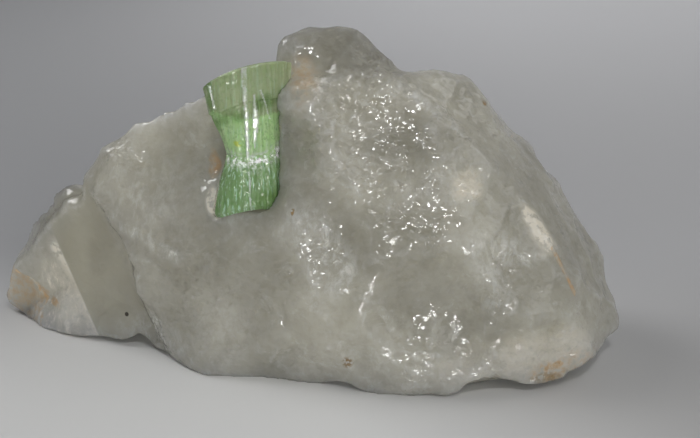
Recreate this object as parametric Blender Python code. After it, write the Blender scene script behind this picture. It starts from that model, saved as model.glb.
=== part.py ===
"""A green tourmaline crystal in a broken lump of milky quartz, as one standing specimen.

+X runs along the specimen, to the right as it is usually shown, +Y points away from the viewer and +Z up.
The origin is under the middle of the specimen, on the surface that it stands on.
"""

import math

import bmesh
import bpy
from mathutils import Vector, noise
from mathutils.bvhtree import BVHTree

MM = 0.001

# Room left between the tourmaline and the quartz that it is set in
BED_GAP = 0.3 * MM

# The fineness at which the quartz is carved, and the number of triangles it is thinned to
CARVING_GRID = 0.65 * MM
QUARTZ_TRIANGLES = 8000

# Corners of the quartz in millimetres. Each lump is the tight skin round its own corners, and the lumps
# have grown into each other: the body, the crystal end at the left and the blunt peak at the top.
BODY_CORNERS = {
    "front_foot": (9.5, 0.0, 0.0),
    "left_foot": (-21.8, 7.2, -0.3),
    "left_foot_front": (-5.9, 3.6, -0.3),
    "left_foot_mid": (-14.9, 6.2, -0.3),
    "under_right_toe": (20.0, 0.0, 2.3),
    "right_toe": (30.6, -1.8, 2.0),
    "right_toe_end": (33.8, 1.6, 3.2),
    "right_heel": (37.3, 8.0, 5.0),
    "right_corner": (41.1, 14.0, 5.0),
    "right_rim_low": (40.5, 19.0, 9.5),
    "right_rim_mid": (39.5, 22.0, 13.5),
    "right_rim": (36.0, 24.0, 18.7),
    "right_rim_high": (32.8, 25.0, 23.0),
    "right_shoulder": (27.9, 26.0, 30.2),
    "right_shoulder_high": (23.9, 26.0, 34.7),
    "right_crown": (20.2, 25.0, 39.4),
    "crown_back": (18.1, 24.0, 42.0),
    "crown_mid": (13.0, 22.0, 44.0),
    "crown_front": (7.2, 16.0, 45.1),
    "slab_edge_high": (13.0, 14.0, 39.7),
    "slab_edge_mid": (20.3, 11.0, 32.5),
    "slab_edge": (28.5, 11.0, 26.2),
    "slab_edge_low": (30.5, 9.0, 21.4),
    "slab_edge_foot": (33.0, 7.0, 13.0),
    "front_brow": (-0.7, 13.0, 45.8),
    "front_brow_left": (-7.0, 11.5, 43.5),
    "belly_right": (14.0, 0.0, 14.0),
    "belly_mid": (2.0, 1.0, 13.0),
    "belly_left": (-16.0, 6.5, 13.0),
    "chest_right": (22.0, 3.0, 20.0),
    "chest_mid": (4.0, 4.0, 25.0),
    "chest_left": (-10.0, 8.0, 26.0),
    "left_brow": (-22.1, 18.0, 41.7),
    "left_brow_mid": (-32.9, 23.0, 35.5),
    "left_brow_low": (-37.7, 25.0, 31.3),
    "left_brow_end": (-41.4, 26.0, 25.3),
    "wall_head": (-39.3, 20.2, 24.6),
    "wall_mid": (-32.7, 15.0, 13.2),
    "wall_low": (-26.8, 11.0, 7.1),
    "wall_foot": (-24.5, 10.4, 0.2),
    "left_sole": (-31.0, 15.0, 1.0),
    "back_left_foot": (-34.0, 36.0, 2.0),
    "back_foot": (-6.0, 41.0, 0.0),
    "back_right_foot": (20.0, 36.0, 0.0),
    "back_right": (34.0, 32.0, 9.0),
    "back_right_high": (24.0, 36.0, 27.0),
    "back_mid": (2.0, 42.0, 22.0),
    "back_left": (-26.0, 41.0, 16.0),
    "back_left_high": (-28.0, 34.0, 29.0),
    "back_crown": (4.0, 34.0, 37.0),
}
LEFT_END_CORNERS = {
    "tip": (-57.2, 36.0, 2.0),
    "tip_front": (-56.0, 31.5, 3.6),
    "heel": (-52.2, 26.3, 0.1),
    "toe": (-49.1, 24.0, -0.2),
    "face_foot": (-39.4, 19.2, 1.2),
    "face_foot_mid": (-46.2, 22.0, 0.8),
    "face_foot_in": (-34.2, 16.3, 1.2),
    "face_low": (-27.3, 13.4, 5.7),
    "face_top": (-45.9, 25.0, 15.7),
    "face_head": (-40.2, 22.5, 22.8),
    "top": (-47.5, 33.0, 22.3),
    "top_in": (-43.0, 30.0, 22.6),
    "shoulder": (-52.1, 36.0, 15.8),
    "shoulder_low": (-54.9, 38.0, 10.6),
    "edge": (-56.7, 38.0, 5.4),
    "back_foot": (-48.0, 40.0, 1.0),
    "back": (-47.0, 41.0, 13.0),
    "back_in": (-36.0, 40.0, 3.0),
    "back_high": (-40.0, 38.0, 20.0),
    "inside": (-25.0, 26.0, 12.0),
}
PEAK_CORNERS = {
    "left_low": (-10.6, 17.0, 44.0),
    "left": (-10.2, 19.0, 48.5),
    "left_top": (-7.3, 20.0, 49.6),
    "top": (-2.2, 21.0, 50.8),
    "ridge_top": (-0.3, 21.0, 50.6),
    "ridge_low": (-0.2, 15.0, 46.0),
    "right_top": (3.7, 20.0, 48.3),
    "right": (6.6, 19.0, 45.9),
    "right_low": (8.0, 19.0, 40.0),
    "root_left": (-12.0, 21.0, 34.0),
    "root_right": (6.0, 17.0, 34.0),
    "back_left": (-9.0, 28.0, 44.0),
    "back": (-2.0, 29.0, 46.5),
    "back_right": (6.0, 28.0, 43.0),
    "back_root": (0.0, 33.0, 34.0),
}

# Hollow shell-shaped breaks. Each is where it lies on its side of the lump, the two ways that it faces in
# degrees (to the right and up, seen from that side), its width and depth, and the height of its ripples.
FRONT_SCARS = {
    "left_window": ((-27.0, 31.0), (-18, 27), 24.0, 2.4, 0.00),
    "big_shell": ((5.0, 36.0), (4, 32), 23.0, 2.2, 0.22),
    "left_flank": ((-15.0, 13.0), (-20, 4), 22.0, 1.0, 0.08),
    "middle_dish": ((8.0, 17.0), (-2, 12), 17.0, 1.0, 0.00),
    "right_dish": ((22.0, 22.0), (24, 20), 15.0, 1.1, 0.10),
    "right_low_dish": ((21.5, 11.0), (12, -4), 15.0, 0.8, 0.15),
    "navel": ((-3.0, 21.0), (-12, 14), 15.0, 0.9, 0.12),
    "bed_side": ((-12.6, 33.2), (-14, 15), 13.5, 1.6, 0.00),
    "crown_notch": ((-6.5, 43.5), (-16, 36), 9.0, 1.4, 0.00),
    "skirt": ((-11.0, 5.0), (-12, -14), 15.0, 0.7, 0.06),
    "lip_hollow": ((12.0, 6.0), (2, 30), 16.0, 1.6, 0.08),
    "toe_hollow": ((28.0, 9.0), (28, -6), 11.0, 0.9, 0.10),
}
UNDER_SCARS = {
    "under_front": ((-0.5, 7.0), (0, -75), 9.0, 1.3, 0.00),
    "under_left": ((-36.0, 30.0), (0, -90), 14.0, 1.2, 0.00),
    "under_step": ((22.0, 3.0), (-10, -50), 7.0, 0.8, 0.00),
    "under_middle": ((-2.0, 23.0), (0, -90), 30.0, 3.2, 0.10),
    "under_right": ((23.0, 18.0), (14, -76), 16.0, 2.0, 0.08),
    "under_back": ((-24.0, 36.0), (-10, -80), 14.0, 1.6, 0.00),
}
BACK_SCARS = {
    "back_shell": ((-8.0, 26.0), (2, 22), 34.0, 3.0, 0.25),
    "back_left_shell": ((-30.0, 20.0), (-24, 16), 27.0, 2.4, 0.15),
    "back_right_shell": ((20.0, 24.0), (20, 26), 28.0, 2.4, 0.18),
    "back_low_shell": ((5.0, 9.0), (-8, -10), 24.0, 1.8, 0.12),
    "back_left_low": ((-23.0, 7.0), (-4, -12), 17.0, 1.3, 0.10),
    "back_right_low": ((28.0, 9.0), (32, -4), 18.0, 1.5, 0.10),
    "back_end": ((-45.0, 9.0), (-14, 8), 13.0, 0.9, 0.08),
}


def facing(turn, tilt):
    """The direction that is TURN degrees to the right of the viewer and TILT degrees up."""
    turn, tilt = math.radians(turn), math.radians(tilt)
    return Vector((math.sin(turn) * math.cos(tilt), -math.cos(turn) * math.cos(tilt), math.sin(tilt)))


# Flat faces, each by a point in it in millimetres and the way it faces
SLAB_FACE = ((26.0, 13.0, 27.8), Vector((0.70, -0.35, 0.62)).normalized())
BAND_FACE = ((-45.7, 25.0, 15.7), facing(-29.2, -1.3))

# Where the band ends at its right, against the wall of the body
BAND_END = ((-33.0, 18.0, 15.5), Vector((0.817, 0.0, 0.577)))


# The sole: the height in millimetres at which the underside is ground level where it rests
SOLE = 0.3

# The tourmaline, as the rings of a three-sided rounded column. Each has the x of its left and right edge,
# the y of its front and back, and the heights of its left edge, middle and right edge, in millimetres.
TOURMALINE_RINGS = {
    "end": (-19.6, -10.6, 9.0, 17.4, 24.0, 25.8, 25.2),
    "foot": (-20.0, -10.2, 8.7, 18.0, 24.6, 26.5, 25.9),
    "shin": (-19.2, -10.0, 9.1, 18.4, 28.9, 29.2, 29.6),
    "knee": (-18.4, -10.2, 9.8, 18.8, 31.6, 31.8, 31.8),
    "low_crack_under": (-18.0, -10.3, 10.2, 19.0, 33.0, 33.4, 32.9),
    "low_crack": (-17.8, -10.6, 10.5, 18.8, 33.3, 33.7, 33.2),
    "low_crack_over": (-18.1, -10.3, 10.3, 19.0, 33.7, 34.0, 33.5),
    "waist": (-18.8, -10.2, 10.6, 19.3, 35.8, 37.0, 36.8),
    "high_crack_under": (-20.2, -9.7, 11.0, 19.7, 38.7, 41.2, 41.0),
    "high_crack": (-20.1, -9.7, 11.3, 19.5, 39.0, 41.5, 41.4),
    "high_crack_over": (-20.5, -9.1, 11.0, 19.8, 39.3, 41.8, 41.8),
    "shoulder": (-21.0, -8.5, 11.0, 20.0, 42.2, 44.7, 45.1),
    "rim": (-21.3, -8.4, 11.1, 20.0, 44.0, 46.6, 47.8),
    "top": (-21.0, -8.7, 11.5, 19.7, 44.3, 46.9, 48.0),
}
TOURMALINE_EDGES = 40

# How far the end break of the tourmaline drops from its front to its back, as a share of the way, and how
# much of that the rings below it share
TOP_SLOPE = 0.40
SLOPE_SHARES = {"high_crack_over": 0.4, "shoulder": 0.6, "rim": 0.8, "top": 1.0}

# The rings of the two cross-breaks that the bed of the tourmaline doesn't follow
BREAK_RINGS = ("low_crack", "high_crack_under", "high_crack")


def link(name, mesh):
    thing = bpy.data.objects.new(name, mesh)
    bpy.context.scene.collection.objects.link(thing)
    return thing


def tight_skin(name, corners):
    """A closed solid whose skin is stretched round these corners."""
    bm = bmesh.new()
    for corner in corners.values():
        bm.verts.new(Vector(corner) * MM)
    skin = bmesh.ops.convex_hull(bm, input=bm.verts)
    spare = {v for v in (*skin["geom_interior"], *skin["geom_unused"]) if isinstance(v, bmesh.types.BMVert)}
    bmesh.ops.delete(bm, geom=list(spare), context="VERTS")
    mesh = bpy.data.meshes.new(name)
    bm.to_mesh(mesh)
    bm.free()
    return link(name, mesh)


def settle(thing):
    """Applies the modifiers of THING."""
    shaped = thing.evaluated_get(bpy.context.evaluated_depsgraph_get())
    mesh = bpy.data.meshes.new_from_object(shaped)
    thing.modifiers.clear()
    thing.data = mesh


def part_round(vertex):
    """All the vertices that are joined to VERTEX, itself among them."""
    found, queue = {vertex}, [vertex]
    while queue:
        for edge in queue.pop().link_edges:
            for end in edge.verts:
                if end not in found:
                    found.add(end)
                    queue.append(end)
    return found


def trim_slivers(thing):
    """Closes up the hair-thin triangles of THING and takes off what then hangs by one edge or floats free."""
    bm = bmesh.new()
    bm.from_mesh(thing.data)
    bmesh.ops.dissolve_degenerate(bm, edges=bm.edges, dist=0.02 * MM)
    for _ in range(4):
        hanging = [face for face in bm.faces if any(len(edge.link_faces) == 1 for edge in face.edges)]
        bmesh.ops.delete(bm, geom=hanging, context="FACES")
    rest = set(bm.verts)
    crumbs = []
    while rest:
        piece = part_round(rest.pop())
        rest -= piece
        if len(piece) < 20:
            crumbs.extend(piece)
    bmesh.ops.delete(bm, geom=crumbs, context="VERTS")
    bmesh.ops.recalc_face_normals(bm, faces=bm.faces)
    bm.to_mesh(thing.data)
    bm.free()


def combine(thing, other, operation):
    """Joins OTHER to THING, or cuts it out of it, and removes OTHER."""
    step = thing.modifiers.new(operation, "BOOLEAN")
    step.operation, step.solver, step.object = operation, "EXACT", other
    step.use_self = True
    settle(thing)
    bpy.data.objects.remove(other)
    trim_slivers(thing)


def remesh(thing, grid):
    """Gives THING an even skin of small squares."""
    step = thing.modifiers.new("grid", "REMESH")
    step.mode, step.voxel_size = "VOXEL", grid
    settle(thing)


def fade(value, start, end):
    """Goes evenly from 1 at START to 0 at END."""
    return min(1.0, max(0.0, (end - value) / (end - start)))


def roughen(thing, depth, scale):
    """Raises and sinks the skin of THING by up to DEPTH, in lumps about SCALE across.

    The crystal end at the left keeps smoother faces.
    """
    ways = [v.normal.copy() for v in thing.data.vertices]
    for v, way in zip(thing.data.vertices, ways):
        lump = noise.fractal(v.co / scale, 0.9, 2.1, 4)
        v.co += way * depth * lump * (1 - 0.75 * fade(v.co.x, -42 * MM, -34 * MM))


def cleave(thing, at, way):
    """Flattens what stands past the plane through AT that faces WAY, as a clean split does."""
    at = Vector(at) * MM
    for v in thing.data.vertices:
        past = (v.co - at).dot(way)
        if past > 0:
            v.co -= way * past


def polish(thing, at, way, edge_at, edge_way):
    """Lays the skin flat in the plane through AT that faces WAY, as far as the edge through EDGE_AT."""
    at, edge_at = Vector(at) * MM, Vector(edge_at) * MM
    turned = [fade(-v.normal.dot(way), -0.75, -0.6) for v in thing.data.vertices]
    for v, share in zip(thing.data.vertices, turned):
        past = (v.co - at).dot(way)
        beyond = (v.co - edge_at).dot(edge_way)
        share *= fade(abs(past), 1.8 * MM, 2.6 * MM) * fade(beyond, -0.9 * MM, 0)
        v.co -= way * past * share


def spall(thing, place, way, width, depth, ripple):
    """Presses one shell-shaped break into THING: an uneven big ball's inside, with ripples round the blow."""
    width, depth, ripple = width * MM, depth * MM, ripple * MM
    radius = (width * width / 4 + depth * depth) / (2 * depth)
    middle = place + way * (radius - depth)
    across = way.orthogonal().normalized()
    blow = place + across * width * 0.45
    wave = 1.9 * MM
    for v in thing.data.vertices:
        out = v.co - middle
        reach = radius + depth * 0.5 * noise.noise(v.co / (width * 0.3))
        if out.length < reach:
            near = (v.co - blow).length
            push = reach + ripple * math.sin(math.tau * near / wave)
            v.co = middle + out.normalized() * push


def on_side(thing, side, place):
    """The point of the skin of THING that is met from SIDE at PLACE, two numbers in millimetres."""
    a, b = place[0] * MM, place[1] * MM
    far = 100 * MM
    starts = {
        "front": (Vector((a, -far, b)), Vector((0, 1, 0))),
        "back": (Vector((a, far, b)), Vector((0, -1, 0))),
        "top": (Vector((a, b, far)), Vector((0, 0, -1))),
        "under": (Vector((a, b, -far)), Vector((0, 0, 1))),
    }
    start, way = starts[side]
    tree = BVHTree.FromObject(thing, bpy.context.evaluated_depsgraph_get())
    return tree.ray_cast(start, way)[0]


def scar_side(thing, side, scars):
    """Presses all the breaks of one side into THING."""
    for place, (turn, tilt), width, depth, ripple in scars.values():
        way = facing(turn, tilt)
        if side == "back":
            way.y = -way.y
        spall(thing, on_side(thing, side, place), way, width, depth, ripple)


def make_quartz():
    """The lump: grown together, weathered, broken into shells, and cleaved flat in two places."""
    quartz = tight_skin("quartz_matrix", BODY_CORNERS)
    combine(quartz, tight_skin("left_end", LEFT_END_CORNERS), "UNION")
    combine(quartz, tight_skin("peak", PEAK_CORNERS), "UNION")
    remesh(quartz, CARVING_GRID)
    roughen(quartz, 0.5 * MM, 8 * MM)
    for side, scars in (
        ("under", UNDER_SCARS),
        ("back", BACK_SCARS),
        ("front", FRONT_SCARS),
    ):
        scar_side(quartz, side, scars)
    remesh(quartz, CARVING_GRID)
    roughen(quartz, 0.12 * MM, 2.6 * MM)
    cleave(quartz, *SLAB_FACE)
    polish(quartz, *BAND_FACE, *BAND_END)
    remesh(quartz, CARVING_GRID)
    thin = quartz.modifiers.new("thin", "DECIMATE")
    thin.ratio = QUARTZ_TRIANGLES / (2 * len(quartz.data.polygons))
    settle(quartz)
    return quartz


def section():
    """The outline of the tourmaline from above, from -1 to 1 each way: a rounded triangle with fine ribs."""
    points = []
    for step in range(TOURMALINE_EDGES):
        turn = math.tau * step / TOURMALINE_EDGES
        bulge = 1 + 0.07 * math.cos(3 * turn + 0.5) + (0.012 if step % 2 else -0.012)
        points.append((bulge * math.cos(turn), bulge * math.sin(turn)))
    spans = [(min(values), max(values)) for values in zip(*points)]
    return [[2 * (value - low) / (high - low) - 1 for value, (low, high) in zip(point, spans)] for point in points]


def make_column(name, growth=0.0, skip=()):
    """The tourmaline's column from its rings but those to SKIP, swollen by GROWTH on every side."""
    bm = bmesh.new()
    outline = section()
    rings = []
    for ring_name, ring in TOURMALINE_RINGS.items():
        if ring_name in skip:
            continue
        left, right, front, back, low, mid, high = (value * MM for value in ring)
        half_width, half_depth = (right - left) / 2 + growth, (back - front) / 2 + growth
        slope = TOP_SLOPE * SLOPE_SHARES.get(ring_name, 0.0)
        rise = growth * {"top": 1.6, "end": -1.6}.get(ring_name, 0.0)
        points = []
        for across, away in outline:
            height = mid + across * (high - low) / 2 + across * across * ((low + high) / 2 - mid)
            x = (left + right) / 2 + across * half_width
            y = (front + back) / 2 + away * half_depth
            z = height + rise - (y - front) * slope
            points.append(bm.verts.new((x, y, z)))
        rings.append(points)
    for under, over in zip(rings, rings[1:]):
        for step in range(TOURMALINE_EDGES):
            after = (step + 1) % TOURMALINE_EDGES
            bm.faces.new((under[step], under[after], over[after], over[step]))
    bm.faces.new(reversed(rings[0]))
    bm.faces.new(rings[-1])
    bmesh.ops.triangulate(bm, faces=bm.faces)
    mesh = bpy.data.meshes.new(name)
    bm.to_mesh(mesh)
    bm.free()
    return link(name, mesh)


def box(name, low, high):
    """A plain block between two corners, in millimetres."""
    bm = bmesh.new()
    bmesh.ops.create_cube(bm, size=1)
    for v in bm.verts:
        v.co = Vector((a + (b - a) * (c + 0.5) for a, b, c in zip(low, high, v.co))) * MM
    mesh = bpy.data.meshes.new(name)
    bm.to_mesh(mesh)
    bm.free()
    return link(name, mesh)


def stuff(thing, colour, roughness):
    """Gives THING a material of its own."""
    material = bpy.data.materials.new(thing.name)
    material.use_nodes = True
    shader = material.node_tree.nodes["Principled BSDF"]
    shader.inputs["Base Color"].default_value = (*colour, 1)
    shader.inputs["Roughness"].default_value = roughness
    shader.inputs["Metallic"].default_value = 0
    thing.data.materials.clear()
    thing.data.materials.append(material)


def centre(things):
    """Moves all THINGS so that the middle of their common foot is at the origin."""
    corners = [v.co for thing in things for v in thing.data.vertices]
    low = Vector(min(co[axis] for co in corners) for axis in range(3))
    high = Vector(max(co[axis] for co in corners) for axis in range(3))
    shift = Vector((-(low.x + high.x) / 2, -(low.y + high.y) / 2, -low.z))
    for thing in things:
        for v in thing.data.vertices:
            v.co += shift
    return shift


def main():
    for thing in list(bpy.data.objects):
        bpy.data.objects.remove(thing)
    quartz = make_quartz()
    combine(quartz, make_column("bed", BED_GAP, BREAK_RINGS), "DIFFERENCE")
    combine(quartz, box("ground", (-90, -30, -20), (90, 80, SOLE)), "DIFFERENCE")
    tourmaline = make_column("tourmaline_crystal")
    stuff(quartz, (0.52, 0.50, 0.44), 0.30)
    stuff(tourmaline, (0.13, 0.33, 0.11), 0.15)
    return centre((quartz, tourmaline))


ORIGIN_SHIFT = main()
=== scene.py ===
import math

import bmesh
import bpy
import numpy as np
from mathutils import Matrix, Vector, noise


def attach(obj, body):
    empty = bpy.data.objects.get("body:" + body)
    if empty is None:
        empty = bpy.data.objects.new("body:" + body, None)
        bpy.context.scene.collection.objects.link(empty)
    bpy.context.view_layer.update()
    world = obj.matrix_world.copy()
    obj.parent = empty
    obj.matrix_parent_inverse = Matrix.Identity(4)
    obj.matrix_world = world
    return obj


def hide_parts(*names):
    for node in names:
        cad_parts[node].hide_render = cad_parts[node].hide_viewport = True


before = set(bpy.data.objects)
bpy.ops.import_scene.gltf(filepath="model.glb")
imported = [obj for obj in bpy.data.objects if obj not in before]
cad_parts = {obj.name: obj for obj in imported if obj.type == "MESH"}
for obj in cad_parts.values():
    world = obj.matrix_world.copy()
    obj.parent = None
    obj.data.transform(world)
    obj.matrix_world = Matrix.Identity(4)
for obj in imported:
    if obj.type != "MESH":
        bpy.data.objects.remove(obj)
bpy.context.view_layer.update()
MM = 0.001


# The quartz is one lump of milky rock crystal. It was broken out of a vein, so its skin is a set of
# shell-shaped breaks with ripples in them, one flat crystal face at the left and a clean split at the right.
# Its mesh is the solid's own, given a finer skin and then the ripples and chips that are too fine for CAD.
QUARTZ_GRID = 0.41 * MM


def finer_copy(node, name, grid):
    """A new object with an even, fine skin, in the shape of a CAD node."""
    thing = bpy.data.objects.new(name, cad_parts[node].data.copy())
    bpy.context.scene.collection.objects.link(thing)
    step = thing.modifiers.new("grid", "REMESH")
    step.mode, step.voxel_size = "VOXEL", grid
    shaped = thing.evaluated_get(bpy.context.evaluated_depsgraph_get())
    thing.data = bpy.data.meshes.new_from_object(shaped)
    thing.modifiers.clear()
    return thing


def read_skin(mesh):
    """The places of a mesh's corners, and the two corners that each of its edges joins."""
    places = np.zeros(len(mesh.vertices) * 3)
    mesh.vertices.foreach_get("co", places)
    ends = np.zeros(len(mesh.edges) * 2, int)
    mesh.edges.foreach_get("vertices", ends)
    return places.reshape(-1, 3), ends.reshape(-1, 2)


def mean_round(values, ends):
    """For each corner, the mean of VALUES over the corners that an edge joins it to."""
    total = np.zeros_like(values)
    np.add.at(total, ends[:, 0], values[ends[:, 1]])
    np.add.at(total, ends[:, 1], values[ends[:, 0]])
    count = np.bincount(ends.ravel(), minlength=len(values))
    return (total.T / count).T


# The skin is smoothed by a step towards the mean of each corner's neighbours and then a step away from it,
# so that the lump doesn't shrink
SMOOTHING_STEPS = (0.5, -0.51)


def even_out(thing):
    """Rounds off the corners that are finer than a few squares of the skin."""
    mesh = thing.data
    places, ends = read_skin(mesh)
    for share in SMOOTHING_STEPS:
        places += (mean_round(places, ends) - places) * share
    mesh.vertices.foreach_set("co", places.ravel())
    mesh.update()


def near(place, middle, reach):
    """1 at MIDDLE, falling smoothly to 0 at REACH from it."""
    share = max(0.0, 1 - (place - middle).length / reach)
    return share * share * (3 - 2 * share)


# Where the breaks are most chipped: the middle of each patch, its reach, how deep the chips are and how
# wide, in millimetres
CHIPPED = {
    "shell_left": ((4.7, -9.7, 38), 5.5, 0.50, 1.4),
    "shell_edge": ((2.4, -10, 34.4), 3.5, 0.25, 1.4),
    "shell_middle": ((8.6, -7.4, 40.5), 5.5, 0.50, 1.4),
    "shell_top": ((11, -5.9, 44.3), 5.5, 0.40, 1.4),
    "shell_brow": ((3.6, -8.2, 43.1), 4.5, 0.25, 1.3),
    "rim_top": ((15.8, -5.8, 42.6), 3.5, 0.25, 1.5),
    "rim_middle": ((20.9, -6.8, 38.7), 3.5, 0.30, 1.6),
    "rim_low": ((23.5, -8.2, 35.8), 3.5, 0.25, 1.5),
    "chain_left": ((10, -13.3, 30.7), 4, 0.40, 1.6),
    "chain_middle": ((15.0, -13.2, 30.0), 4.5, 0.35, 1.7),
    "chain_low": ((14.5, -15.6, 26.6), 4.5, 0.35, 1.8),
    "chain_end": ((19.6, -16.9, 22.8), 3.5, 0.30, 1.8),
    "chain_right": ((20.4, -13, 30.8), 3.5, 0.35, 1.7),
    "patch": ((24.5, -12.3, 30), 5, 0.35, 1.6),
    "right_feather": ((30, -16.3, 19.2), 6, 0.25, 1.6),
    "right_foot": ((29, -18, 14), 5, 0.22, 1.8),
    "crust": ((37, -16.5, 6), 9, 0.22, 1.5),
    "crust_left": ((28, -19.8, 4), 6, 0.18, 1.6),
    "veil": ((4.5, -15, 21.3), 6, 0.20, 1.9),
    "arc": ((-1.0, -15, 17.5), 3, 0.30, 2.2),
    "flank_left": ((-10.1, -12.6, 12.6), 3, 0.25, 1.6),
    "flank_middle": ((-4.5, -14.5, 12.4), 3.5, 0.25, 1.7),
    "flank_right": ((-1.6, -15.8, 10.4), 3, 0.25, 1.7),
    "peak": ((11, -3, 45.5), 5, 0.18, 1.8),
    "bed_side": ((-1.6, -7.5, 36.7), 4, 0.30, 1.4),
    "window_rim": ((-20.5, -6.7, 18.4), 4.5, 0.20, 1.6),
    "window_edge": ((-30.3, -0.5, 22.9), 4, 0.25, 1.6),
    "window_top": ((-27, 0, 31), 6, 0.15, 2.0),
    "foot": ((-21, -7, 3.5), 7, 0.22, 1.7),
    "end_top": ((-39, 8, 17), 4, 0.22, 1.5),
    "lip": ((18, -20, 3), 6, 0.15, 1.6),
    "back": ((0, 18, 25), 26, 0.25, 3.0),
}

# Ripples that run out from a blow: where the blow fell, the middle and reach of the rippled patch, and how
# far apart and how high the ripples are, in millimetres
RIPPLED = {
    "shell": ((19, -5, 51), (12, -12, 33), 13, 2.3, 0.26),
    "shell_foot": ((19, -5, 51), (18, -15.5, 26), 8, 2.0, 0.24),
    "right": ((45, -8, 30), (30, -16, 19), 9, 1.8, 0.16),
    "flank": ((-30, -4, 24), (-14, -11, 12), 13, 3.4, 0.12),
    "lip": ((20, -10, 12), (19, -19, 3), 10, 1.7, 0.14),
    "back": ((20, 18, 44), (0, 18, 22), 26, 2.6, 0.22),
}

# Thin ledges where the break stepped down: both ends of each and its height, in millimetres
LEDGES = {
    "chain_one": ((11.4, -11.6, 32.1), (15.8, -12.3, 30.9), 0.32),
    "chain_two": ((8.0, -13.1, 31.8), (12.2, -13.7, 29.3), 0.28),
    "chain_three": ((14.0, -14.4, 28.6), (17.4, -14.5, 28.9), 0.30),
    "chain_four": ((10.8, -14.7, 28.4), (16.9, -15.8, 25.6), 0.35),
    "chain_five": ((16.5, -16.4, 24.3), (20.9, -17.1, 22.0), 0.30),
    "chain_six": ((18.7, -13.3, 30.5), (22.0, -12.5, 31.1), 0.28),
    "rim_one": ((15.6, -5.8, 42.8), (20.9, -6.8, 38.7), 0.35),
    "rim_two": ((20.9, -6.8, 38.7), (23.7, -8.2, 35.6), 0.35),
    "left_one": ((3.2, -9.6, 39.2), (5.6, -9.9, 36.6), 0.30),
    "left_two": ((5.4, -9.3, 38.8), (8.4, -9.6, 37.2), 0.25),
    "top_one": ((5.6, -8.0, 41.6), (9.8, -7.2, 41.9), 0.30),
    "arc": ((-2.2, -14.4, 18.4), (0.1, -15.5, 16.5), 0.30),
    "streak": ((11.4, -18.4, 14.5), (13.9, -18.2, 9.8), 0.22),
    "veil": ((4.6, -15, 22.0), (6.6, -16.3, 18.0), 0.22),
}

# How wide and how deep the shallow bowls are that cover the whole skin, in millimetres
LARGE_CHIPS = ((13, 0.80), (5.0, 0.50))

# The breaks that came out smooth: the middle and reach of each, in millimetres
STILL = (((-22, -2, 27), 10), ((-10, -12, 11), 11), ((14, -10, 36), 5), ((-28, -1, 9), 9))

# The faces that are smooth: a point in each, in millimetres, and the way that it faces
SMOOTH_FACES = {
    "crystal_face": ((-37.8, 4.4, 15.4), (-0.488, -0.873, -0.023)),
    "split": ((33.9, -7.6, 27.5), (0.70, -0.35, 0.62)),
}


# The sole stays as flat as the solid's: the skin doesn't move up to this height, and moves fully from the
# fade's height above it
SOLE_HEIGHT, SOLE_FADE = 0.2 * MM, 1.5 * MM

# How far a noise bends the rims of the bowls, and how wide its bends are
BEND, BEND_WIDTH = 1.2 * MM, 5 * MM

# The bends are noise vectors, which differ from run to run unless their noise has a seed
noise.seed_set(1)

# Half the width of a ledge
LEDGE_REACH = 0.55 * MM

# How far from its plane a smooth face still counts as smooth, and how nearly its skin has to face its way
FACE_REACH, FACE_TURN = 1.0 * MM, 0.93

# How far a sharp rim stands out from its surroundings, where it is frosty all over
CREST_HEIGHT = 0.05 * MM


def bowls(place, width, depth):
    """How far out the skin lies where shallow bowls, WIDTH across and DEPTH deep, meet in sharp rims."""
    apart = noise.voronoi(place / (width * MM))[0][0]
    return depth * MM * (apart * apart * 1.6 - 0.35)


def chip(thing):
    """Breaks the skin into shell-shaped chips and ripples, and notes how rough each place came out."""
    mesh = thing.data
    faces = [(Vector(at) * MM, Vector(way).normalized()) for at, way in SMOOTH_FACES.values()]
    still_places = [(Vector(middle) * MM, reach * MM) for middle, reach in STILL]
    chipped, ledges, rippled = [], [], []
    for middle, reach, depth, width in CHIPPED.values():
        chipped.append((Vector(middle) * MM, reach * MM, depth, width))
    for start, end, height in LEDGES.values():
        start, end = Vector(start) * MM, Vector(end) * MM
        ledges.append((start, end - start, height * MM))
    for blow, middle, reach, apart, height in RIPPLED.values():
        rippled.append((Vector(blow) * MM, Vector(middle) * MM, reach * MM, apart * MM, height * MM))
    ways = [v.normal.copy() for v in mesh.vertices]
    rough = mesh.attributes.new("chips", "FLOAT", "POINT")
    for v, way in zip(mesh.vertices, ways):
        place = v.co.copy()
        bent = place + noise.noise_vector(place / BEND_WIDTH) * BEND
        still = max(near(place, middle, reach) for middle, reach in still_places)
        push = sum(bowls(bent, width, depth) for width, depth in LARGE_CHIPS) * (1 - 0.8 * still)
        amount = 0.0
        for middle, reach, depth, width in chipped:
            share = near(place, middle, reach)
            if share > 0:
                push += share * bowls(bent, width, depth)
                amount = max(amount, share)
        for blow, middle, reach, apart, height in rippled:
            share = near(place, middle, reach)
            if share > 0:
                out = (bent - blow).length / apart
                push += share * height * (0.64 - abs(math.sin(math.pi * out)))
                amount = max(amount, share * 0.6)
        for start, run, height in ledges:
            share = min(1.0, max(0.0, (bent - start).dot(run) / run.length_squared))
            off = (bent - start - run * share).length / LEDGE_REACH
            if off < 1:
                push += height * (1 - off) * (0.3 + 0.7 * math.sin(math.pi * share))
                amount = max(amount, 0.7 * (1 - off))
        calm = 0.0
        for at, face_way in faces:
            off = abs((place - at).dot(face_way)) / FACE_REACH
            if way.dot(face_way) > FACE_TURN and off < 1:
                calm = 1 - off
        grip = min(1.0, max(0.0, place.z - SOLE_HEIGHT) / SOLE_FADE)
        v.co = place + way * push * (1 - calm) * grip
        rough.data[v.index].value = amount * (1 - calm)
    mesh.update()


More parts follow.
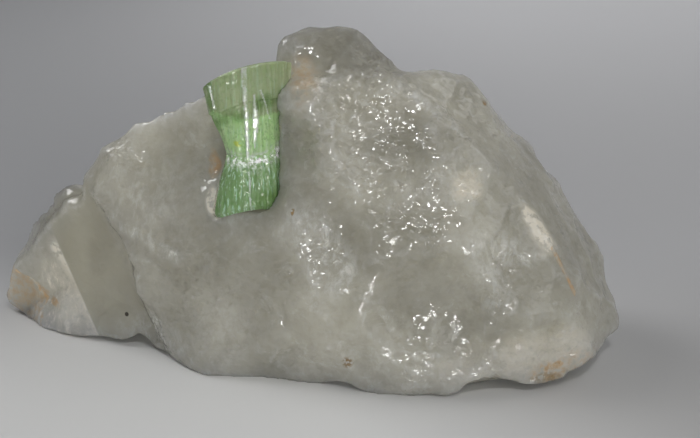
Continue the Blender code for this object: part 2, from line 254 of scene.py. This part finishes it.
def note_crests(thing):
    """Notes how sharply the skin stands out at each place, for the frosty rims of the breaks."""
    mesh = thing.data
    places, ends = read_skin(mesh)
    ways = np.zeros(len(mesh.vertices) * 3)
    mesh.vertices.foreach_get("normal", ways)
    bulge = ((places - mean_round(places, ends)) * ways.reshape(-1, 3)).sum(axis=1) / CREST_HEIGHT
    for _ in range(2):
        bulge = 0.5 * bulge + 0.5 * mean_round(bulge, ends)
    crests = mesh.attributes.new("crests", "FLOAT", "POINT")
    crests.data.foreach_set("value", np.clip(bulge, 0, 1))


class Wire:
    """A value in a material's tree. Sums and products of wires become nodes."""

    def __init__(self, recipe, socket):
        self.recipe, self.socket = recipe, socket

    def vector(self):
        return self.socket.type in ("VECTOR", "RGBA")

    def sum_up(self, operation, first, second):
        """One arithmetic node, for plain numbers or for vectors."""
        vectors = [isinstance(w, Wire) and w.vector() for w in (first, second)]
        if not any(vectors):
            return self.recipe.node("ShaderNodeMath", {"operation": operation}, {0: first, 1: second})
        if operation == "MULTIPLY" and not all(vectors):
            way, share = (first, second) if vectors[0] else (second, first)
            if not isinstance(share, (tuple, Vector)):
                values = {0: way, "Scale": share}
                return self.recipe.node("ShaderNodeVectorMath", {"operation": "SCALE"}, values)
        return self.recipe.node("ShaderNodeVectorMath", {"operation": operation}, {0: first, 1: second})

    def __add__(self, other):
        return self.sum_up("ADD", self, other)

    __radd__ = __add__

    def __sub__(self, other):
        return self.sum_up("SUBTRACT", self, other)

    def __rsub__(self, other):
        return self.sum_up("SUBTRACT", other, self)

    def __mul__(self, other):
        return self.sum_up("MULTIPLY", self, other)

    __rmul__ = __mul__

    def __truediv__(self, other):
        return self.sum_up("DIVIDE", self, other)

    def __or__(self, other):
        """The larger of the two: a mask where either is."""
        return self.sum_up("MAXIMUM", self, other)


class Recipe:
    """A material's tree of nodes."""

    def __init__(self, name):
        self.material = bpy.data.materials.new(name)
        self.material.use_nodes = True
        self.tree = self.material.node_tree
        self.tree.nodes.clear()
        self.place = self.node("ShaderNodeTexCoord", {}, {}, "Object")

    def node(self, kind, settings, values, output=0):
        """Adds any node: its kind, then its settings, then what goes into its sockets."""
        made = self.tree.nodes.new(kind)
        for key, value in settings.items():
            setattr(made, key, value)
        for key, value in values.items():
            if isinstance(value, Wire):
                self.tree.links.new(value.socket, made.inputs[key])
            else:
                made.inputs[key].default_value = value
        return Wire(self, made.outputs[output])

    def grain(self, place, size, detail=4, rough=0.55, twist=0.0):
        """Cloudy noise whose lumps are SIZE across."""
        values = {"Vector": place, "Scale": 1 / size, "Detail": detail, "Roughness": rough}
        return self.node("ShaderNodeTexNoise", {}, {**values, "Distortion": twist})

    def noted(self, name):
        """What the mesh's points have noted under NAME."""
        return self.node("ShaderNodeAttribute", {"attribute_name": name}, {}, "Fac")

    def dot(self, first, second):
        return self.node("ShaderNodeVectorMath", {"operation": "DOT_PRODUCT"}, {0: first, 1: second}, "Value")

    def length(self, offset):
        return self.node("ShaderNodeVectorMath", {"operation": "LENGTH"}, {0: offset}, "Value")

    def step(self, value, start, end):
        """0 up to START and 1 from END, with a smooth rise."""
        settings = {"interpolation_type": "SMOOTHSTEP"}
        if start > end:
            return self.node("ShaderNodeMapRange", settings, {0: value, 1: end, 2: start, 3: 1.0, 4: 0.0})
        return self.node("ShaderNodeMapRange", settings, {0: value, 1: start, 2: end, 3: 0.0, 4: 1.0})

    def blend(self, first, second, share):
        """FIRST colour where SHARE is 0 and SECOND where it is 1."""
        first, second = ((*c, 1) if isinstance(c, tuple) else c for c in (first, second))
        return self.node("ShaderNodeMix", {"data_type": "RGBA"}, {0: share, 6: first, 7: second}, 2)

    def spot(self, place, middle, reach, soft=0.5):
        """1 within an egg shape round MIDDLE, in millimetres, with a soft rim."""
        sizes = reach if isinstance(reach, tuple) else (reach, reach, reach)
        away = self.length((place - Vector(middle) * MM) / (Vector(sizes) * MM))
        return self.step(away, 1 + soft / 2, 1 - soft / 2)

    def side(self, place, point, way, soft=0.3):
        """1 on the side of POINT that WAY leads to, in millimetres, with a rim that is SOFT wide."""
        way = Vector(way).normalized()
        off = self.dot(place - Vector(point) * MM, way)
        return self.step(off, -soft * MM / 2, soft * MM / 2)

    def streak(self, place, start, end, width, soft=0.8):
        """1 along the line from START to END, in millimetres, WIDTH across."""
        start, end = Vector(start) * MM, Vector(end) * MM
        run = end - start
        offset = place - start
        settings = {"operation": "DIVIDE", "use_clamp": True}
        share = self.node("ShaderNodeMath", settings, {0: self.dot(offset, run), 1: run.length_squared})
        foot = self.node("ShaderNodeVectorMath", {"operation": "SCALE"}, {0: run, "Scale": share})
        away = self.length(offset - foot)
        half = width * MM / 2
        return self.step(away, half * (1 + soft / 2), half * (1 - soft / 2))

    def any_of(self, masks):
        """A mask that is 1 where any of these is."""
        whole = masks[0]
        for mask in masks[1:]:
            whole = whole | mask
        return whole

    def facets(self, normal, place, size, lean):
        """NORMAL broken up into small flat faces, SIZE across, that each LEAN their own way."""
        cell = self.node("ShaderNodeTexVoronoi", {}, {"Vector": place, "Scale": 1 / size}, "Color")
        leaning = normal + (cell - (0.5, 0.5, 0.5)) * lean
        return self.node("ShaderNodeVectorMath", {"operation": "NORMALIZE"}, {0: leaning})

    def bump(self, height, depth):
        """The normal of a skin that HEIGHT, from 0 to 1, raises by up to DEPTH."""
        return self.node("ShaderNodeBump", {}, {"Height": height, "Distance": depth, "Strength": 1.0})

    def finish(self, surface, inside=None):
        """The finished material, from its surface and, where it is see-through, what fills it."""
        output = self.tree.nodes.new("ShaderNodeOutputMaterial")
        self.tree.links.new(surface.socket, output.inputs["Surface"])
        if inside is not None:
            self.tree.links.new(inside.socket, output.inputs["Volume"])
        return self.material


# How quartz bends light, and how rough the shine of its fresh breaks is
QUARTZ_IOR, POLISH = 1.544, 0.11


def quartz_material():
    """Milky quartz: clear in part, clouded with white veils, stained by iron and crusted with cream."""
    r = Recipe("milky quartz")
    place = r.place
    chips = r.noted("chips")
    crests = r.step(r.noted("crests"), 0.10, 0.55)
    cloud = r.grain(place, 9 * MM, 3)
    swirl = r.node("ShaderNodeTexNoise", {}, {"Vector": place, "Scale": 1 / (4 * MM), "Detail": 2}, "Color")
    bent = place + (swirl - (0.5, 0.5, 0.5)) * (2.4 * MM)
    fine = r.grain(place, 1.2 * MM, 3, 0.6)

    # The crystal face at the left lies between two straight edges
    outer = r.side(place, (-34.9, 2.3, 7.1), (-0.899, -0.313, -0.306))
    end = r.side(place, (-30, 0, 20), (-0.86, -0.2, -0.36), 1.0)
    face = end * (1 - outer)

    # White veils: healed cracks, seen as feathery streaks
    feather = r.step(r.grain(bent * Vector((1.0, 1.0, 0.5)), 1.2 * MM, 4, 0.7), 0.42, 0.66)
    wisps = r.step(r.grain(bent * Vector((0.6, 1.0, 1.0)), 3.5 * MM, 4, 0.7, 1.0), 0.52, 0.66)
    veils = r.any_of([
        r.streak(bent, (1.5, -14, 24), (6.5, -16, 18), 6.5, 1.4),
        r.streak(bent, (4.6, -15, 22), (7.0, -16, 17.5), 1.6, 1.0),
        r.streak(bent, (11.4, -18, 14.5), (13.9, -18, 9.8), 1.2),
        r.streak(bent, (8, -17, 16), (14, -19, 3), 1.8, 1.4) * 0.5,
        r.streak(bent, (2, -15, 18), (8, -18, 4), 1.8, 1.2) * 0.7,
        r.spot(bent, (-22, -3, 25), (8, 5, 6), 1.6) * 0.6,
        r.streak(bent, (-28, -2, 21), (-18, -8, 17.0), 2.2, 1.4),
        r.streak(bent, (26.5, -16, 22), (33, -14.5, 19.5), 4.0, 1.4),
        r.streak(bent, (27, -17, 19), (29, -18, 13.5), 4.0, 1.4) * 0.7,
        r.spot(bent, (12, -3, 45), 3.5, 1.6) * 0.4,
        r.spot(bent, (-22, -7, 3.5), (8, 5, 2.6), 1.2),
        r.streak(bent, (-27, -4, 6.0), (-20, -8, 5.0), 3.2, 1.2),
        r.spot(bent, (21, -12, 30), (8, 5, 4), 1.4) * 0.5,
        r.spot(bent, (-10, -12, 8), (7, 5, 5), 1.6) * 0.3,
        r.streak(bent, (15.8, -5.8, 42.6), (23.5, -8.2, 35.8), 1.8, 1.2) * 0.8,
        crests * 0.45,
        wisps * (0.45 - 0.45 * face),
    ]) * (0.25 + 0.75 * feather)

    # The cream and white patches, where the skin is crushed or crusted
    cream = r.any_of([
        outer * r.spot(bent, (-38, 3, 3), (7, 7, 10.5), 0.5) * (0.45 + 0.55 * feather),
        outer * r.streak(place, (-38.7, 5, 13.5), (-31.3, -1, 1.3), 3.0, 1.6),
        r.streak(bent, (34.3, -11.2, 24.6), (36.6, -12.6, 20.6), 3.4, 0.8),
        r.spot(bent, (36, -16.5, 5.5), (10, 6, 4.0), 1.0) * 0.8,
        r.spot(bent, (26, -19.5, 4), (5, 4, 2.0), 1.2) * 0.5,
        r.spot(bent, (25, -12.5, 30), (2.4, 3, 2.2), 0.8) * 0.8,
        r.spot(place, (-12.4, -6.8, 25.6), (1.1, 3, 2.0), 0.4),
        r.spot(bent, (1.3, -6, 43.0), (2.4, 4, 3.6), 1.2) * 0.7,
    ]) * r.step(fine, 0.20, 0.55)

    # Iron stain, in cracks and where the end of the lump lay in earth
    left_of_crack = r.side(bent, (-41.0, 6.2, 4.5), (-0.93, 0, 0.37), 0.5)
    tip = left_of_crack * r.side(bent, (-43.6, 7.9, 7.0), (-0.45, 0, -0.89), 0.5)
    rust = r.any_of([
        tip * 0.62,
        r.streak(bent, (-46.3, 9.5, 8.0), (-43.4, 7.9, 6.8), 0.5),
        r.streak(bent, (-43.4, 7.9, 6.8), (-41.0, 6.2, 4.4), 0.7),
        r.streak(bent, (-41.0, 6.2, 4.4), (-41.8, 4.5, 0.3), 0.6),
        r.spot(bent, (-39.4, 4.4, 4.3), (1.1, 3, 0.8), 0.6) * 0.8,
        r.streak(place * Vector((1, 0.3, 1)), (37.3, -3.8, 20.4), (40.8, -4.1, 13.6), 0.55),
        r.spot(bent, (36.8, -17.8, 2.9), (2.8, 3, 1.6), 0.9),
        r.streak(bent * Vector((1, 0.4, 1)), (34.2, -7.2, 2.6), (39.0, -6.9, 4.4), 0.9),
        r.spot(bent, (41, -15.6, 3.6), (3.0, 3, 2.0), 1.2) * 0.5,
        r.spot(bent, (1.0, -6, 43.5), (1.8, 4, 3.4), 1.4) * 0.55,
        r.spot(bent, (-12.5, -3.4, 30.5), (0.8, 3, 1.7), 0.9) * 0.9,
    ])
    # Brown specks of ironstone
    brown = r.any_of([
        r.spot(bent, (7.4, -18.4, 4.8), 0.75, 1.2),
        r.spot(bent, (-0.5, -13, 25.8), 0.3, 0.8),
        r.spot(bent, (28, 0.8, 38.4), 0.45, 1.0),
        r.spot(bent, (36.2, -18, 2.3), (2.2, 3, 0.7), 0.9) * 0.6,
    ]) * r.step(r.grain(place, 0.5 * MM, 2), 0.35, 0.55)
    # One dark crack at the right, and one black speck at the foot of the crystal face
    crack = r.streak(place, (31.0, -11.7, 26.6), (28.6, -15.2, 22.8), 0.6, 1.4) * r.step(fine, 0.3, 0.6)
    speck = r.spot(place, (-27, -1.4, 4.9), 0.35, 0.4)

    # The colours, from the milky body up to the stains that lie on it
    grey = r.blend((0.445, 0.43, 0.355), (0.565, 0.548, 0.478), cloud)
    mottled = r.blend(grey, (0.42, 0.405, 0.335), r.step(fine, 0.40, 0.70) * 0.55)
    toned = r.blend(mottled, (0.47, 0.45, 0.36), face * 0.8)
    milk = r.blend(toned, (0.86, 0.86, 0.82), veils * 0.6)
    creamy = r.blend(milk, (0.84, 0.78, 0.66), cream * 0.8)
    stained = r.blend(creamy, (0.64, 0.42, 0.23), rust * r.step(fine, 0.28, 0.66))
    browned = r.blend(stained, (0.27, 0.18, 0.08), brown)
    colour = r.blend(browned, (0.05, 0.04, 0.03), speck | (crack * 0.4))

    # How solid the quartz is at its skin: 0 is clear and 1 is wholly milky, stained or crusted
    cloudy = r.step(r.grain(bent, 14 * MM, 2), 0.35, 0.65)
    clearer = r.any_of([
        r.spot(bent, (-40, 9, 19), (7, 8, 8), 1.0) * 0.6,
        r.spot(bent, (8, 0, 50), (14, 12, 7), 0.8) * 0.8,
        r.spot(bent, (14.5, -10, 35.5), (6, 5, 3), 1.2) * 0.35,
        r.spot(bent, (-16, -8, 20), (15, 10, 15), 1.2) * 0.22,
        r.spot(bent, (15, -15, 19), (10, 8, 9), 1.2) * 0.25,
    ])
    milkiness = (0.62 + 0.2 * cloudy) * (1 - 0.6 * clearer)
    solid = r.any_of([veils * 0.8, cream * 0.9, rust * 0.8, speck, brown, milkiness])

    # The tiny faces that glint: most of them where the skin is chipped, and a few in groups elsewhere
    ripples = r.bump(r.grain(place, 2.0 * MM, 3, 0.5, 0.6), (0.16 + 0.2 * chips) * MM)
    scattered = r.step(r.grain(place, 4.5 * MM, 2), 0.50, 0.72) * (0.4 - 0.4 * face)
    patchy = (chips | scattered) * (0.45 + 0.75 * r.step(fine, 0.35, 0.60))
    wide = r.facets(ripples, bent * Vector((0.6, 1.0, 1.15)), 0.80 * MM, 0.14 + 0.50 * patchy)
    hackle = r.facets(wide, bent * Vector((0.7, 1.0, 1.2)), 0.32 * MM, 0.06 + 0.58 * patchy)
    clear = r.node("ShaderNodeBsdfPrincipled", {}, {
        "Base Color": r.blend((0.93, 0.925, 0.88), colour, 0.3), "Roughness": POLISH, "IOR": QUARTZ_IOR,
        "Transmission Weight": 1.0, "Normal": hackle,
    })
    milky = r.node("ShaderNodeBsdfPrincipled", {}, {
        "Base Color": colour, "Roughness": POLISH, "IOR": QUARTZ_IOR, "Normal": hackle,
        "Subsurface Weight": 1.0, "Subsurface Radius": (1.0, 0.97, 0.88), "Subsurface Scale": 24 * MM,
    })
    both = r.node("ShaderNodeMixShader", {}, {0: solid, 1: clear, 2: milky})
    smoke = r.node("ShaderNodeVolumeAbsorption", {}, {"Color": (0.80, 0.78, 0.66, 1), "Density": 45.0})
    return r.finish(both, smoke)


quartz = finer_copy("quartz_matrix", "quartz_lump", QUARTZ_GRID)
even_out(quartz)
chip(quartz)
note_crests(quartz)
quartz.data.shade_smooth()
quartz.data.materials.clear()
quartz.data.materials.append(quartz_material())
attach(quartz, "root")
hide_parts("quartz_matrix")


# The tourmaline is one clear green column, rounded triangular with fine ribs along it. Two breaks cross it.
# It is olive and see-through above the upper break, and emerald and full of light below it. It grew in the
# quartz, which still holds it from behind. Its mesh is the solid's own with the ribs raised on it.
COLUMN_GRID = 0.16 * MM
# How far a rib moves to the right over each millimetre down the column
RIB_SLANT = 0.045
# The ribs of the front: where each is across the column, half its width and its height, in millimetres
RIBS = {
    "left_edge": (-12.4, 0.5, 0.16),
    "left_pair": (-11.3, 0.45, 0.14),
    "left_low": (-10.3, 0.5, 0.18),
    "left_mid": (-9.3, 0.4, 0.12),
    "before_strip": (-8.4, 0.45, 0.18),
    "spindle_side": (-6.2, 0.25, 0.12),
    "right_mid": (-4.9, 0.35, 0.14),
    "right_low": (-4.0, 0.45, 0.18),
    "right_pair": (-3.1, 0.35, 0.14),
    "right_edge": (-2.2, 0.4, 0.12),
}
# Flat strips that shine: the middle of each at its upper and lower end (across and up), and half its width
# at both ends, in millimetres
STRIPS = {
    "long": ((-7.15, 46.5), (-6.75, 33.0), 0.42, 0.22),
    "long_low": ((-6.75, 33.0), (-6.30, 24.5), 0.16, 0.10),
    "spindle": ((-5.75, 42.5), (-5.60, 38.5), 0.06, 0.48),
    "spindle_low": ((-5.60, 38.5), (-5.75, 34.5), 0.48, 0.05),
    "slanting": ((-4.80, 43.0), (-3.55, 38.5), 0.12, 0.14),
    "corner": ((-12.3, 43.5), (-11.6, 40.0), 0.24, 0.28),
}
# The way across that the strips face, as a slope
STRIP_SLOPE = 0.10


# The column's middle as seen from above, and the height about which the ribs slant, in millimetres
COLUMN_MIDDLE, RIB_LEVEL = (-7.0, -5.5), 35
# The lower break: its height at the column's middle, how it curves up to both sides, its reach and roughness
LOW_BREAK = (32.6, 0.04, 1.3, 0.35)
# The upper rim: a place along it, across and up, how it climbs to the right, its reach and its roughness
UPPER_RIM = (-1.5, 46.4, 0.27, 1.2, 0.12)


def along_strip(strip, place):
    """How far down a strip a place is, from 0 to 1, and how far across from the strip's middle."""
    top, low = strip[:2]
    share = (top[1] - place.z) / (top[1] - low[1])
    return share, place.x - (top[0] + (low[0] - top[0]) * share)


def fit_strips(places, ways):
    """The even curve that each strip follows down the column's front, from the skin that it replaces."""
    fits = {}
    for name, strip in STRIPS.items():
        rows = []
        for place, way in zip(places, ways):
            share, off = along_strip(strip, place)
            if -0.1 < share < 1.1 and way.y < -0.5 and abs(off) < 0.25:
                rows.append((place.z, place.y - STRIP_SLOPE * off))
        rows = np.array(rows)
        fits[name] = np.polyfit(rows[:, 0], rows[:, 1], 2)
    return fits


def rib(thing):
    """Raises the ribs, lays the flat strips among them and makes the ends and the breaks uneven."""
    mesh = thing.data
    shiny = mesh.attributes.new("strips", "FLOAT", "POINT")
    places = [v.co / MM for v in mesh.vertices]
    ways = [v.normal.copy() for v in mesh.vertices]
    fits = fit_strips(places, ways)
    break_height, break_curve, break_reach, break_depth = LOW_BREAK
    rim_x, rim_height, rim_climb, rim_reach, rim_depth = UPPER_RIM
    for v, place, way in zip(mesh.vertices, places, ways):
        across = place.x + RIB_SLANT * (place.z - RIB_LEVEL)
        push = 0.0
        if way.y < -0.3:
            for middle, half, height in RIBS.values():
                share = max(0.0, 1 - abs(across - middle) / half)
                push += height * share * (2 - share) - 0.02
        turn = math.atan2(place.x - COLUMN_MIDDLE[0], place.y - COLUMN_MIDDLE[1])
        push += 0.10 * noise.noise((turn * 9, 0.0, place.z * 0.05))
        push += 0.07 * noise.noise((turn * 26, 3.0, place.z * 0.12))
        new = place + way * push * (1 - abs(way.z))
        # The ends and the crossing breaks are chipped
        apart = noise.voronoi(place / 1.1)[0][0]
        low_break = place.z - break_height - break_curve * (place.x - COLUMN_MIDDLE[0]) ** 2
        rim = place.z - rim_height - rim_climb * (place.x - rim_x)
        chipped = max(0.0, 1 - abs(low_break) / break_reach) * break_depth
        chipped += max(0.0, 1 - abs(rim) / rim_reach) * rim_depth
        new += way * chipped * (apart - 0.45)
        for name, strip in STRIPS.items():
            share, off = along_strip(strip, place)
            wide_top, wide_low = strip[2:]
            inside = 0 <= share <= 1 and way.y <= -0.4
            if inside and abs(off) < wide_top + (wide_low - wide_top) * share:
                new.y = float(np.polyval(fits[name], place.z)) + STRIP_SLOPE * off - 0.12
                # Each short length of a strip leans back a little, so the strip shines along its length
                new.y += 0.06 * ((place.z / 1.7) % 1.0)
                shiny.data[v.index].value = 1.0
        v.co = new * MM
    mesh.update()


# How tourmaline bends light
TOURMALINE_IOR = 1.63


def tourmaline_material():
    """Clear green tourmaline: olive above, emerald below, white where the lower break scatters the light,
    with painted shade and painted highlights.
    """
    r = Recipe("green tourmaline")
    place = r.place
    height = r.node("ShaderNodeSeparateXYZ", {}, {0: place}, "Z") / MM
    swirl = r.grain(place, 2.0 * MM, 4)
    fine = r.grain(place, 0.6 * MM, 4, 0.65)
    strands = r.grain(place * Vector((1.0, 1.0, 0.10)), 0.30 * MM, 3)
    strips = r.noted("strips")
    wavy = height + (swirl - 0.5) * 3.0
    upper = r.step(wavy, 38.8, 39.8)
    low = r.step(wavy, 34.0, 31.0)
    crack = r.any_of([
        r.streak(place, (-11, -9, 33.0), (-6.5, -10, 32.4), 2.2, 1.2),
        r.streak(place, (-6.5, -10, 32.4), (-2, -7, 33.4), 2.4, 1.2),
    ])
    white = crack * r.step(fine, 0.42, 0.60)
    # Painted shade: dark lines painted near the column's foot, across its upper part and down its upper left
    # edge
    painted_shade_lines = r.any_of([
        r.streak(place, (-11, -9, 25.6), (-3, -10, 27.0), 2.6, 1.2),
        r.streak(place, (-12, -8, 38.2), (-8, -9, 39.4), 2.0, 1.2),
        r.streak(place, (-5, -9, 41.0), (-1, -7, 42.0), 2.0, 1.2),
        r.streak(place, (-13.4, -8, 46), (-12.0, -8, 37), 2.6, 1.2),
    ]) * r.step(swirl, 0.30, 0.55)
    body = r.blend((0.53, 0.76, 0.37), (0.53, 0.61, 0.35), upper)
    body = r.blend(body, (0.28, 0.45, 0.20), low)
    speckled = r.blend(body, (0.24, 0.42, 0.15), r.step(fine, 0.50, 0.64) * (0.55 - 0.25 * upper))
    # Painted highlights: pale streaks along the growth lines, more of them below the lower break
    with_painted_streaks = r.blend(speckled, (0.66, 0.92, 0.72), r.step(strands, 0.54, 0.66) * (0.30 + 0.50 * low))
    with_painted_shade = r.blend(with_painted_streaks, (0.16, 0.30, 0.07), painted_shade_lines * 0.75)
    # Painted highlight: a small bright yellow-green glint painted on the front of the column
    spark = r.spot(place, (-8.3, -9.8, 35.3), (0.6, 1.0, 0.5), 0.8)
    with_painted_glint = r.blend(with_painted_shade, (0.60, 0.72, 0.12), spark * r.step(fine, 0.4, 0.55))
    # The shining strips are painted near white as well, a painted highlight over their own shine
    colour = r.blend(with_painted_glint, (0.92, 0.97, 0.92), white | (strips * r.step(fine, 0.30, 0.60) * 0.8))

    # Growth lines along the column, and small glinting faces where it is broken
    rib_bump = r.bump(strands, (0.09 - 0.08 * strips) * MM)
    glints = r.facets(rib_bump, place, 0.45 * MM, (0.15 + 0.5 * crack + 0.3 * low) * (1 - 0.7 * strips))
    clear = r.node("ShaderNodeBsdfPrincipled", {}, {
        "Base Color": r.blend(colour, (1.0, 1.0, 1.0), 0.35), "Roughness": 0.07, "IOR": TOURMALINE_IOR,
        "Transmission Weight": 1.0, "Normal": glints,
    })
    cloudy = r.node("ShaderNodeBsdfPrincipled", {}, {
        "Base Color": colour, "Roughness": 0.10, "IOR": TOURMALINE_IOR, "Normal": glints,
        "Subsurface Weight": 0.8, "Subsurface Radius": (0.8, 1.0, 0.8), "Subsurface Scale": 2 * MM,
    })
    both = r.node("ShaderNodeMixShader", {}, {0: white | (0.62 - 0.17 * upper), 1: clear, 2: cloudy})
    green = r.node("ShaderNodeVolumeAbsorption", {}, {"Color": (0.55, 0.85, 0.48, 1), "Density": 60.0})
    return r.finish(both, green)


crystal = finer_copy("tourmaline_crystal", "tourmaline_column", COLUMN_GRID)
even_out(crystal)
rib(crystal)
crystal.data.shade_smooth()
crystal.data.materials.clear()
crystal.data.materials.append(tourmaline_material())
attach(crystal, "root")
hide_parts("tourmaline_crystal")


# The floor is a pale sheet that curves up behind into a plain backdrop. It is painted darker behind and at
# the right, as the photo's is: painted shade behind, a painted shadow at the front right and painted light
# far back at the right.
# Its front edge, where its curve starts, the curve's reach, its height and half its width:
SHEET_FRONT, CURVE_START, CURVE_REACH, SHEET_HEIGHT, HALF_WIDTH = -0.6, 0.30, 0.10, 1.0, 1.2
CURVE_STEPS = 24


def sweep():
    bm = bmesh.new()
    line = [(SHEET_FRONT, 0.0), (CURVE_START, 0.0)]
    for step in range(1, CURVE_STEPS + 1):
        turn = math.pi / 2 * step / CURVE_STEPS
        line.append((CURVE_START + CURVE_REACH * math.sin(turn), CURVE_REACH * (1 - math.cos(turn))))
    line.append((CURVE_START + CURVE_REACH, SHEET_HEIGHT))
    rows = [[bm.verts.new((x, y, z)) for x in (-HALF_WIDTH, HALF_WIDTH)] for y, z in line]
    for near_row, far_row in zip(rows, rows[1:]):
        bm.faces.new((near_row[0], near_row[1], far_row[1], far_row[0]))
    mesh = bpy.data.meshes.new("sweep")
    bm.to_mesh(mesh)
    bm.free()
    mesh.shade_smooth()
    thing = bpy.data.objects.new("sweep", mesh)
    bpy.context.scene.collection.objects.link(thing)
    r = Recipe("paper")
    x = r.node("ShaderNodeSeparateXYZ", {}, {0: r.place}, "X")
    y = r.node("ShaderNodeSeparateXYZ", {}, {0: r.place}, "Y")
    # Painted shade and light behind: the paper there is painted darker than at the front, darker still at the
    # left, and lighter far back at the right
    behind_painted_light_and_shade = r.blend((0.30, 0.303, 0.31), (0.47, 0.47, 0.475), r.step(x, -0.10, 0.10))
    behind_painted_light_and_shade = r.blend(behind_painted_light_and_shade, (0.90, 0.90, 0.91), r.step(y, 0.05, 0.32) * (0.12 + 0.64 * r.step(x, -0.13, 0.06)))
    # Painted shadow: at the front the paper is painted darker towards the right, beside the lump
    front_with_painted_shadow = r.blend((0.65, 0.65, 0.64), (0.35, 0.345, 0.34), r.step(x, 0.000, 0.095))
    paper_with_painted_light = r.blend(front_with_painted_shadow, behind_painted_light_and_shade, r.step(y, -0.025, 0.045))
    shader = r.node("ShaderNodeBsdfPrincipled", {}, {"Base Color": paper_with_painted_light, "Roughness": 0.8})
    mesh.materials.append(r.finish(shader))
    return thing


floor = sweep()


# The light: a soft panel at the upper left and a little behind, a wide weak one at the right, a small bright
# lamp above the camera that glints in the chips, a tall narrow one that shines in the tourmaline's strips,
# and one at the right that lights the paper behind. The room adds a little bluish light from all round.
def lamp(name, place, power, width, height=None, aim=(0, 0, 0.02), spread=180):
    light = bpy.data.lights.new(name, "AREA")
    light.shape = "RECTANGLE"
    light.energy, light.size, light.size_y = power, width, height or width
    light.spread = math.radians(spread)
    thing = bpy.data.objects.new(name, light)
    bpy.context.scene.collection.objects.link(thing)
    thing.location = place
    thing.rotation_euler = (Vector(aim) - Vector(place)).to_track_quat("-Z", "Y").to_euler()
    return thing


lamp("panel", (-0.30, 0.12, 0.35), 0.79, 0.20)
lamp("fill", (0.36, -0.32, 0.36), 0.56, 0.40)
lamp("spark", (0.07, -0.33, 0.42), 0.48, 0.036)
lamp("strip", (0.03, -0.30, 0.085), 0.032, 0.024, 0.14, aim=(-0.007, -0.01, 0.036), spread=50)
lamp("back", (0.42, 0.16, 0.45), 0.45, 0.30, aim=(0.14, 0.26, 0))
world = bpy.data.worlds.new("room")
world.use_nodes = True
world.node_tree.nodes["Background"].inputs["Color"].default_value = (0.60, 0.62, 0.68, 1)
world.node_tree.nodes["Background"].inputs["Strength"].default_value = 0.155
bpy.context.scene.world = world

# The camera stands a little above the specimen, 21 cm in front of it, and looks down by 20 degrees.
camera = bpy.data.objects.new("camera", bpy.data.cameras.new("camera"))
bpy.context.scene.collection.objects.link(camera)
camera.data.lens = 75
camera.data.clip_start = 0.005
camera.location = (0.0079, -0.2107, 0.0969)
camera.rotation_euler = (math.radians(70), 0, 0)
bpy.context.scene.camera = camera
bpy.context.scene.view_settings.view_transform = "Standard"
